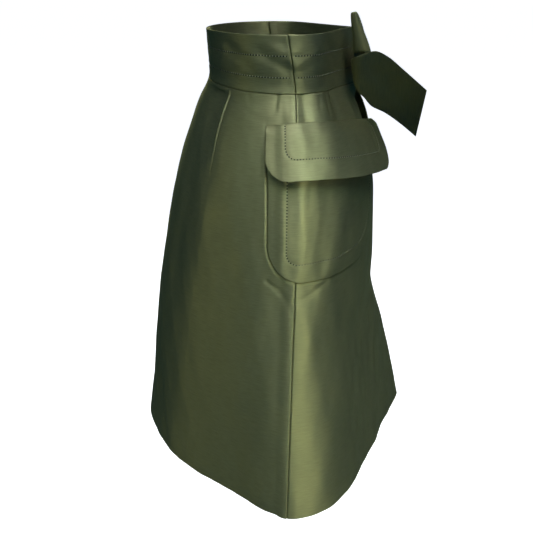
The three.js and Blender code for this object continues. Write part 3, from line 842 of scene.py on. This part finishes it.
def stitchOutline(piece, topAt, bottomAt):
    # down the back edge, round the lower corners and up the front edge, as (distance, drop) points
    inset = piece["stitchInset"]
    back, before = -piece["behindSeam"] + inset, piece["beforeSeam"] - inset
    rb, rf = piece["stitchBackRadius"], piece["stitchFrontRadius"]
    turn = np.linspace(0, math.pi / 2, 14)
    lowBack, lowFront = bottomAt(back + rb) - inset, bottomAt(before - rf) - inset
    down = np.linspace(float(topAt(back)), lowBack - rb, 40)
    points = [np.stack([np.full_like(down, back), down], 1),
              np.stack([back + rb - rb * np.cos(turn), lowBack - rb + rb * np.sin(turn)], 1)]
    across = np.linspace(back + rb, before - rf, 90)
    points.append(np.stack([across, bottomAt(across) - inset], 1))
    points.append(np.stack([before - rf + rf * np.sin(turn), lowFront - rf + rf * np.cos(turn)], 1))
    up = np.linspace(lowFront - rf, float(topAt(before)), 40)
    points.append(np.stack([np.full_like(up, before), up], 1))
    return np.concatenate(points)


pocketPath = stitchOutline(pocket, pocketTop, lambda distance: pocket["bottom"] + 0 * distance)
flapPath = stitchOutline(flap, flapTop, lambda distance: flapTop(distance) + flapHeight(distance))


def patchShares(height, fine=(0, 0.35, 0.8, 1.5, 2.6)):
    ends = np.array(fine) / height
    inner = np.linspace(ends[-1], 1 - ends[-1], round(height / 2.1))
    return np.concatenate([ends[:-1], inner, 1 - ends[:-1][::-1]])


def patchDistances(piece):
    columns = [spaced(-piece["behindSeam"], piece["beforeSeam"], 2.1)]
    for share in (0.002, 0.01, 0.03, 0.06, 0.1):
        columns.append([-piece["behindSeam"] + piece["backRadius"] * share,
                        piece["beforeSeam"] - piece["frontRadius"] * share])
    return np.unique(np.concatenate([np.asarray(c, float) for c in columns]))[::-1]


def puckers(distance, drop, path, side):
    turnSide = 0.4 if side == "right" else 2.9
    away = fromPath(distance, drop, path)
    ripple = np.sin((distance + drop) / 4.7 + turnSide) * 0.5 + np.sin((distance - drop) / 7.3 + turnSide) * 0.5
    return -0.45 * np.exp(-(away / 1.7) ** 2) + 0.22 * ripple * np.exp(-(away / 6) ** 2)


# a patch's own soft folds: where across (mm from the side seam), how wide and how high
pocketFolds = {
    "right": [(-8, 9, -0.7), (6, 9, 0.9), (34, 10, -0.8), (58, 12, 0.7), (92, 16, -0.7), (128, 14, 0.6)],
    "left": [(-4, 10, -0.6), (12, 9, 0.8), (40, 11, -0.8), (70, 12, 0.6), (104, 15, -0.7), (134, 12, 0.5)],
}
flapFolds = {
    "right": [(-10, 10, 0.4), (14, 10, -0.6), (40, 14, 1.3), (84, 22, -0.9), (130, 16, 0.3)],
    "left": [(-6, 10, 0.4), (20, 11, -0.6), (52, 12, 0.7), (88, 15, -0.6), (126, 15, 0.5)],
}


def foldsAcross(folds, distance):
    return sum(height * np.exp(-((distance - where) / width) ** 2) for where, width, height in folds)


# a pocket or flap bridges the ridge of the seam below it, and takes part of the panel's creases
patchSoften, patchFollow = 11, 0.3


def pocketGrid(side):
    distances = patchDistances(pocket)
    shares = patchShares(pocket["bottom"] - 50)
    rise = patchRise(pocket, distances)
    top = pocketTop(distances)
    share = shares[:, None]
    drop = top + (pocket["bottom"] - rise - top) * share
    edge = np.clip(patchEdge(pocket, distances + 0 * drop, drop, pocket["bottom"]), 0, None)
    lift = pocketLift(distances, share) - roll(edge, cut["patchRoll"]) - roll(drop - top, cut["edgeRoll"])
    lift = lift + puckers(distances + 0 * drop, drop, pocketPath, side)
    lift = lift + foldsAcross(pocketFolds[side], distances) * smoothStep(edge, 0, 14)
    return clothPoints(drop, distances, lift, side, patchSoften, patchFollow), drop


def flapGrid(side):
    distances = patchDistances(flap)
    shares = patchShares(60)
    rise, height, top = patchRise(flap, distances), flapHeight(distances), flapTop(distances)
    share = shares[:, None]
    drop = top + (height - rise) * share
    edge = np.clip(patchEdge(flap, distances + 0 * drop, drop, top + height), 0, None)
    lift = flapLift(distances, share) - roll(edge, cut["patchRoll"]) - roll(drop - top, cut["patchRoll"])
    lift = lift + puckers(distances + 0 * drop, drop, flapPath, side)
    lift = lift + foldsAcross(flapFolds[side], distances) * smoothStep(edge, 0, 14)
    return clothPoints(drop, distances, lift, side, patchSoften, patchFollow), drop


pockets, flaps = {}, {}
for side in ("left", "right"):
    grid, drops = pocketGrid(side)
    pockets[side] = makeSheet("patchPocket" + side.title(), grid, cut["patchThickness"], drops, "pocket_" + side)
    grid, drops = flapGrid(side)
    flaps[side] = makeSheet("pocketFlap" + side.title(), grid, cut["patchThickness"], drops, "flap_" + side)
print("pockets and flaps made", len(pockets["left"].data.polygons), len(flaps["left"].data.polygons))


# bow: the two edges of each ribbon, from the knot out and back
loopRight = {
    "upper": [(-12, -114, 43), (-30, -96, 64), (-44, -86, 83), (-51, -84, 88), (-53, -87, 89), (-51, -90, 89),
              (-43, -96, 82), (-29, -107, 61), (-12, -120, 43)],
    "lower": [(-12, -114, 28), (-30, -97, 33), (-45, -92, 38), (-52, -94, 41), (-57, -102, 42), (-54, -111, 41),
              (-44, -114, 38), (-29, -118, 33), (-12, -121, 28)],
}
loopLeft = {
    "upper": [(12, -115, 43), (30, -100, 52), (44, -88, 57), (51, -86, 58), (54, -90, 58), (51, -95, 58),
              (43, -101, 57), (29, -110, 51), (12, -120, 43)],
    "lower": [(12, -115, 28), (30, -103, 24), (45, -96, 18), (54, -96, 16), (59, -104, 16), (56, -112, 16),
              (45, -116, 18), (29, -120, 24), (12, -121, 28)],
}
tailRight = {
    "upper": [(-12, -111, 24), (-33, -94, 29), (-52, -88, 33), (-63, -95, 38), (-66, -104, 42), (-68, -115, 44),
              (-70, -131, 37), (-71, -151, 22), (-74, -184, -4)],
    "lower": [(-12, -111, 8), (-28, -101, 5), (-43, -95, 1), (-44, -100, -9), (-39, -111, -19), (-33, -123, -31),
              (-28, -145, -42), (-24, -169, -58), (-20, -195, -78)],
}
tailLeft = {
    "upper": [(12, -114, 20), (36, -103, 14), (56, -101, 13), (68, -107, 15), (73, -119, 14), (75, -134, 9),
              (76, -152, -2), (75, -170, -15), (73, -188, -28)],
    "lower": [(12, -115, 10), (30, -109, 2), (40, -108, -4), (43, -114, -10), (43, -122, -16), (42, -133, -25),
              (40, -147, -37), (37, -160, -48), (34, -172, -58)],
}
ribbon = {"thickness": 2.2, "along": 110, "across": 22}


def smoothCurve(points, t):
    # a curve through the points that doesn't overshoot at close ones
    points = np.array(points, float)
    place = (len(points) - 1) * t
    i = min(int(place), len(points) - 2)
    w = place - i
    p1, p2 = points[i], points[i + 1]
    p0 = points[i - 1] if i > 0 else 2 * p1 - p2
    p3 = points[i + 2] if i + 2 < len(points) else 2 * p2 - p1
    d0, d1, d2 = (max(np.linalg.norm(b - a) ** 0.5, 1e-3) for a, b in ((p0, p1), (p1, p2), (p2, p3)))
    m1 = ((p1 - p0) / d0 - (p2 - p0) / (d0 + d1) + (p2 - p1) / d1) * d1
    m2 = ((p2 - p1) / d1 - (p3 - p1) / (d1 + d2) + (p3 - p2) / d2) * d1
    return p1 + m1 * w + (3 * (p2 - p1) - 2 * m1 - m2) * w ** 2 + (2 * (p1 - p2) + m1 + m2) * w ** 3


def bowPiece(name, ring, uvPoints, node, mergeWithin=0):
    # a tube of points, capped at both ends
    rows, columns = ring.shape[:2]
    index = np.arange(rows * columns).reshape(rows, columns)
    following = np.roll(index, -1, axis=1)
    faces = np.stack([index[:-1], index[1:], following[1:], following[:-1]], -1).reshape(-1, 4).tolist()
    faces += [index[0][::-1].tolist(), index[-1].tolist()]
    piece = newPiece(name, ring, faces)
    mapCloth(piece.data, uvPoints.reshape(-1, 2) * mm)
    faceOutwards(piece.data, mergeWithin)
    setSmooth(piece, 60)
    return register(piece, node)


def ribbonPiece(name, edges, node, wrinkles):
    # a doubled ribbon: two faces that meet in rounded edges
    alongs = np.linspace(0, 1, ribbon["along"] + 1)
    acrosses = np.linspace(0, 1, ribbon["across"] + 1)
    acrosses = 0.5 - 0.5 * np.cos(math.pi * acrosses)
    upper = np.array([smoothCurve(edges["upper"], t) for t in alongs])
    lower = np.array([smoothCurve(edges["lower"], t) for t in alongs])
    middle = upper[:, None] * (1 - acrosses)[None, :, None] + lower[:, None] * acrosses[None, :, None]
    lengthways = np.gradient(middle, axis=0)
    crossways = np.gradient(middle, axis=1)
    normal = np.cross(lengthways, crossways)
    normal /= np.linalg.norm(normal, axis=2, keepdims=True)
    half = ribbon["thickness"] / 2 * np.sqrt(np.clip(1 - np.abs(2 * acrosses - 1) ** 6, 0.0, 1))
    relief = np.zeros(middle.shape[:2])
    for wrinkle in wrinkles:
        a, c = alongs[:, None], acrosses[None, :]
        line = c - wrinkle["across"] - wrinkle["slant"] * (a - wrinkle["along"])
        fromMiddle = (a - wrinkle["along"]) / wrinkle["reach"]
        relief += wrinkle["height"] * np.exp(-(line / wrinkle["width"]) ** 2 - fromMiddle ** 2)
    relief *= np.sin(math.pi * acrosses) ** 0.5
    faceOut = middle + normal * (half[None, :] + relief)[..., None]
    faceIn = middle + normal * (relief - half[None, :])[..., None]
    ring = np.concatenate([faceOut, faceIn[:, ::-1][:, 1:-1]], axis=1)
    width = np.linalg.norm(upper - lower, axis=1).mean()
    steps = np.linalg.norm(np.diff(middle[:, len(acrosses) // 2], axis=0), axis=1)
    lengths = np.concatenate([[0], np.cumsum(steps)])
    down = np.concatenate([acrosses, acrosses[::-1][1:-1]]) * width
    # the bow is cut across the cloth, so its ribs run down the ribbon
    uvPoints = np.stack(np.broadcast_arrays(down[None, :], lengths[:, None]), -1)
    return bowPiece(name, ring, uvPoints, node, 1e-6)


def wrinkle(along, across, slant, width, reach, height):
    return {"along": along, "across": across, "slant": slant, "width": width, "reach": reach, "height": height}


bowPieces = {
    "loopRight": ribbonPiece("bowLoopRight", loopRight, "bow_loop_right", [
        wrinkle(0.75, 0.4, 0.5, 0.12, 0.16, 0.8), wrinkle(0.82, 0.7, -0.4, 0.1, 0.12, -0.7),
        wrinkle(0.55, 0.5, 0.2, 0.2, 0.1, 0.6), wrinkle(0.25, 0.5, 0.3, 0.14, 0.15, 0.6)]),
    "loopLeft": ribbonPiece("bowLoopLeft", loopLeft, "bow_loop_left", [
        wrinkle(0.8, 0.35, 0.4, 0.12, 0.15, 0.8), wrinkle(0.78, 0.65, -0.5, 0.1, 0.13, -0.7),
        wrinkle(0.3, 0.5, 0.2, 0.16, 0.15, 0.6)]),
    "tailRight": ribbonPiece("bowTailRight", tailRight, "bow_tail_right", [
        wrinkle(0.55, 0.3, 0.5, 0.1, 0.1, 0.9), wrinkle(0.62, 0.62, 0.4, 0.12, 0.14, -0.8),
        wrinkle(0.8, 0.45, 0.3, 0.2, 0.16, 0.9)]),
    "tailLeft": ribbonPiece("bowTailLeft", tailLeft, "bow_tail_left", [
        wrinkle(0.5, 0.4, 0.4, 0.12, 0.12, 0.9), wrinkle(0.75, 0.6, 0.3, 0.18, 0.16, -0.8)]),
}

knot = {"centre": (0, -115.2, 25.5), "halfSize": (11, 9.6, 19), "gathers": 4, "gatherDepth": 0.8}


def knotPiece():
    # a strip wrapped round the roots of the loops, gathered into lengthways folds
    turns, ribs = 64, 40
    around = np.linspace(0, 2 * math.pi, turns, endpoint=False)
    along = np.sin(np.linspace(-math.pi / 2, math.pi / 2, ribs + 1))
    rows = []
    for s in along:
        shoulder = (1 - abs(s) ** 5) ** 0.45 if abs(s) < 1 else 0.0
        radius = 0.62 + 0.38 * shoulder
        gather = knot["gatherDepth"] * math.cos(knot["gathers"] * math.pi * s) * shoulder
        cy, cz = np.cos(around), np.sin(around)
        y = np.sign(cy) * np.abs(cy) ** 0.75 * (knot["halfSize"][1] * radius + gather * 0.5 - 0.5)
        z = np.sign(cz) * np.abs(cz) ** 0.75 * (knot["halfSize"][2] * radius + gather * 0.5 - 0.5)
        x = np.full_like(y, s * knot["halfSize"][0]) + 0.5 * np.sin(2 * around + s * 2)
        rows.append(np.stack([x, y, z], 1) + np.array(knot["centre"]))
    uvPoints = np.stack(np.broadcast_arrays((around * 12)[None, :], (along * knot["halfSize"][0])[:, None]), -1)
    return bowPiece("bowKnot", np.array(rows), uvPoints, "bow_knot")


bowPieces["knot"] = knotPiece()
print("bow made")


# stitching, with painted shade where the needle holes are
stitch = {"length": 1.8, "pitch": 3.7, "width": 0.85, "height": 0.5, "holeShade": 1.9,
          "proud": 0.08}      # how far the thread stands on the cloth


def smallShape(name, size, segments, rings):
    # one stitch, or the flat mark of painted shade for a needle hole, modelled once and copied along the rows
    bpy.ops.object.select_all(action="DESELECT")
    bpy.ops.mesh.primitive_uv_sphere_add(segments=segments, ring_count=rings, radius=0.5, location=(0, 0, 0))
    shape = bpy.context.object
    shape.name = name
    bpy.ops.object.mode_set(mode="EDIT")
    bpy.ops.mesh.select_all(action="SELECT")
    bpy.ops.transform.rotate(value=math.pi / 2, orient_axis="Y", center_override=(0, 0, 0))
    bpy.ops.transform.resize(value=tuple(s * mm for s in size), center_override=(0, 0, 0))
    bpy.ops.object.mode_set(mode="OBJECT")
    vertices = np.array([v.co[:] for v in shape.data.vertices])
    # sorted, because the operator gives its faces in an order that changes from run to run
    faces = sorted(list(p.vertices) for p in shape.data.polygons)
    bpy.data.objects.remove(shape)
    return vertices, faces


threadShape = smallShape("oneStitch", (stitch["length"], stitch["width"], stitch["height"]), 8, 6)
# a needle hole is drawn as a flat near-black mark on the cloth: painted shade
holeShadeShape = smallShape("oneHole", (stitch["holeShade"], stitch["holeShade"] * 1.3, 0.24), 6, 4)


def sewRow(name, lines):
    # lines: list of (points, normals) in millimetres; a stitch every pitch, and between stitches a near-black mark
    # of painted shade for the needle hole
    vertices, faces, shadeMarks = [], [], []
    count = 0
    for points, normals in lines:
        lengths = np.concatenate([[0], np.cumsum(np.linalg.norm(np.diff(points, axis=0), axis=1))])
        places = np.arange(stitch["pitch"] / 2, lengths[-1] - 0.5, stitch["pitch"])
        kinds = ((0, threadShape, False), (stitch["pitch"] / 2, holeShadeShape, True))
        for at, (shape, shapeFaces), dark in ((place + shift, kind, dark) for place in places
                                              for shift, kind, dark in kinds):
            if at > lengths[-1] - 0.3:
                continue
            centre, ahead, behind = (
                np.array([np.interp(at + step, lengths, points[:, k]) for k in range(3)]) * mm
                for step in (0, 0.6, -0.6))
            normal = np.array([np.interp(at, lengths, normals[:, k]) for k in range(3)])
            along = ahead - behind
            if not dark:
                along = along / np.linalg.norm(along) + draws.normal(0, 0.05, 3)
            along /= np.linalg.norm(along)
            normal -= along * np.dot(normal, along)
            normal /= np.linalg.norm(normal)
            matrix = np.stack([along, np.cross(normal, along), normal])
            vertices.append(shape @ matrix + centre)
            faces += [[i + count for i in face] for face in shapeFaces]
            shadeMarks += [dark] * len(shapeFaces)
            count += len(shape)
    mesh = bpy.data.meshes.new(name)
    mesh.from_pydata(np.concatenate(vertices).tolist(), [], faces)
    mesh.materials.append(thread)
    mesh.materials.append(paintedHoleShade)
    mesh.polygons.foreach_set("material_index", np.array(shadeMarks, np.int32))
    mesh.polygons.foreach_set("use_smooth", np.ones(len(faces), bool))
    piece = bpy.data.objects.new(name, mesh)
    bpy.context.scene.collection.objects.link(piece)
    faceOutwards(mesh)
    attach(piece, "root")


def linePoints(path, lift, side, soften=0.5, follow=1):
    # points and outward normals on a surface along (distance, drop) pairs
    here, out = (clothPoints(path[:, 1], path[:, 0], lift + up, side, soften, follow) for up in (0, 1))
    return here, (out - here) / np.linalg.norm(out - here, axis=1, keepdims=True)


bandLines = []
for side in ("left", "right"):
    for row in band["stitchRows"]:
        for span in (np.arange(1.8, reach(row, "toFront") - 1, 1.5),
                     -np.arange(1.8, reach(row, "toBack") - 1.5, 1.5)):
            path = np.stack([span, np.full_like(span, row)], 1)
            bandLines.append(linePoints(path, bandLift(path[:, 1], path[:, 0], side) + stitch["proud"], side))
sewRow("waistbandStitching", bandLines)


def pocketLiftAt(path, side):
    distance, drop = path[:, 0], path[:, 1]
    top = pocketTop(distance)
    share = np.clip((drop - top) / (pocket["bottom"] - patchRise(pocket, distance) - top), 0, 1)
    edge = np.clip(patchEdge(pocket, distance, drop, pocket["bottom"]), 0, None)
    folds = foldsAcross(pocketFolds[side], distance) * smoothStep(edge, 0, 14)
    return pocketLift(distance, share) + puckers(distance, drop, pocketPath, side) + folds + stitch["proud"]


def flapLiftAt(path, side):
    distance, drop = path[:, 0], path[:, 1]
    top, height = flapTop(distance), flapHeight(distance)
    share = np.clip((drop - top) / (height - patchRise(flap, distance)), 0, 1)
    edge = np.clip(patchEdge(flap, distance, drop, top + height), 0, None)
    folds = foldsAcross(flapFolds[side], distance) * smoothStep(edge, 0, 14)
    lift = flapLift(distance, share) + puckers(distance, drop, flapPath, side) + folds
    return lift - roll(drop - top, cut["patchRoll"]) + stitch["proud"]


for side in ("left", "right"):
    lines = [linePoints(pocketPath, pocketLiftAt(pocketPath, side), side, patchSoften, patchFollow)]
    sewRow("pocketStitching" + side.title(), lines)
    lines = [linePoints(flapPath, flapLiftAt(flapPath, side), side, patchSoften, patchFollow)]
    sewRow("flapStitching" + side.title(), lines)
print("stitching made")


# floor, light and camera
studio = {
    "floorDrop": -1.15, "floorSize": 300, "floorColour": "#f4f4f2", "floorGlow": 1.0,
    "airColour": (0.0, 0.38, 1.0), "airStrength": 0.11,
    "distance": 2.2, "wallRadius": 60, "wallHeight": 120,
}
# soft boxes: azimuth is 0 in front of the wearer, -90 on their right; strength in watts, colour in linear light
softBoxes = [
    # name, azimuth, elevation, size, spread in degrees (180 is no grid), strength, colour, aim
    ("key", -67, 10, 0.9, 18, 1.1, (1.0, 1.0, 0.66), (-0.15, 0.01, -0.45)),
    ("keyHigh", -67, 55, 0.9, 30, 1.1, (0.73, 1.0, 0.91), (-0.15, 0.01, -0.38)),
    ("top", -60, 75, 0.9, 180, 26.5, (0.89, 0.87, 1.0), (0, 0, -0.25)),
    ("topBack", -100, 60, 0.9, 180, 5.5, (1.0, 0.91, 0.84), (0, 0, -0.25)),
    ("back", -165, 0, 0.9, 180, 3.9, (1.0, 0.95, 0.42), (0, 0, -0.25)),
    ("backHigh", -140, 50, 0.9, 180, 6.3, (0.8, 1.0, 0.8), (0, 0, -0.25)),
    ("far", 90, 20, 1.4, 180, 24, (1.0, 1.0, 0.9), (0, 0, -0.25)),
]


bpy.ops.object.select_all(action="DESELECT")
bpy.ops.mesh.primitive_plane_add(size=studio["floorSize"], location=(0, 0, studio["floorDrop"]))
floor = bpy.context.object
floor.name = "studioFloor"
# white seamless paper, lit evenly from behind, so it glows a little itself
paper = bpy.data.materials.new("seamlessPaper")
paper.use_nodes = True
paperShader = paper.node_tree.nodes["Principled BSDF"]
paperShader.inputs["Base Color"].default_value = colour(studio["floorColour"])
paperShader.inputs["Roughness"].default_value = 0.9
paperShader.inputs["Emission Color"].default_value = (1, 1, 1, 1)
paperShader.inputs["Emission Strength"].default_value = studio["floorGlow"]
floor.data.materials.append(paper)
bpy.ops.object.select_all(action="DESELECT")
bpy.ops.mesh.primitive_cylinder_add(vertices=96, radius=studio["wallRadius"], depth=studio["wallHeight"],
                                    end_fill_type="NOTHING", location=(0, 0, 0))
wall = bpy.context.object
wall.name = "studioWall"
wall.visible_shadow = False
wall.data.materials.append(paper)
for screen in (floor, wall):    # paper that only the lens sees: it adds no light of its own
    screen.visible_diffuse = False
    screen.visible_glossy = False

scene = bpy.context.scene
scene.view_settings.view_transform = "Standard"
world = bpy.data.worlds.new("studioAir")
scene.world = world
world.use_nodes = True
air = world.node_tree.nodes["Background"]
air.inputs["Color"].default_value = studio["airColour"] + (1.0,)
air.inputs["Strength"].default_value = studio["airStrength"]


def softBox(name, azimuth, elevation, size, spread, strength, lightColour, aim):
    turn, rise = math.radians(azimuth), math.radians(elevation)
    away = np.array([math.sin(turn) * math.cos(rise), -math.cos(turn) * math.cos(rise), math.sin(rise)])
    bpy.ops.object.light_add(type="AREA", location=(np.array(aim) + away * studio["distance"]).tolist())
    lamp = bpy.context.object
    lamp.name = name + "Light"
    lamp.data.shape = "DISK"
    lamp.data.size = size
    lamp.data.spread = math.radians(spread)
    lamp.data.energy = strength
    lamp.data.color = lightColour
    flat = math.hypot(away[0], away[1])
    lamp.rotation_euler = (math.atan2(flat, away[2]), 0, math.atan2(away[0], -away[1]))


for row in softBoxes:
    softBox(*row)

lens = {"place": (-0.8452, 0.0919, 0.1310), "pitch": 26.17, "heading": -95.0, "focal": 40.19}
bpy.ops.object.camera_add(location=lens["place"])
camera = bpy.context.object
camera.name = "studioCamera"
camera.rotation_euler = (math.radians(90 - lens["pitch"]), 0, math.radians(lens["heading"]))
camera.data.lens = lens["focal"]
camera.data.sensor_width = 36
camera.data.clip_start = 0.01
scene.camera = camera
print("studio set")
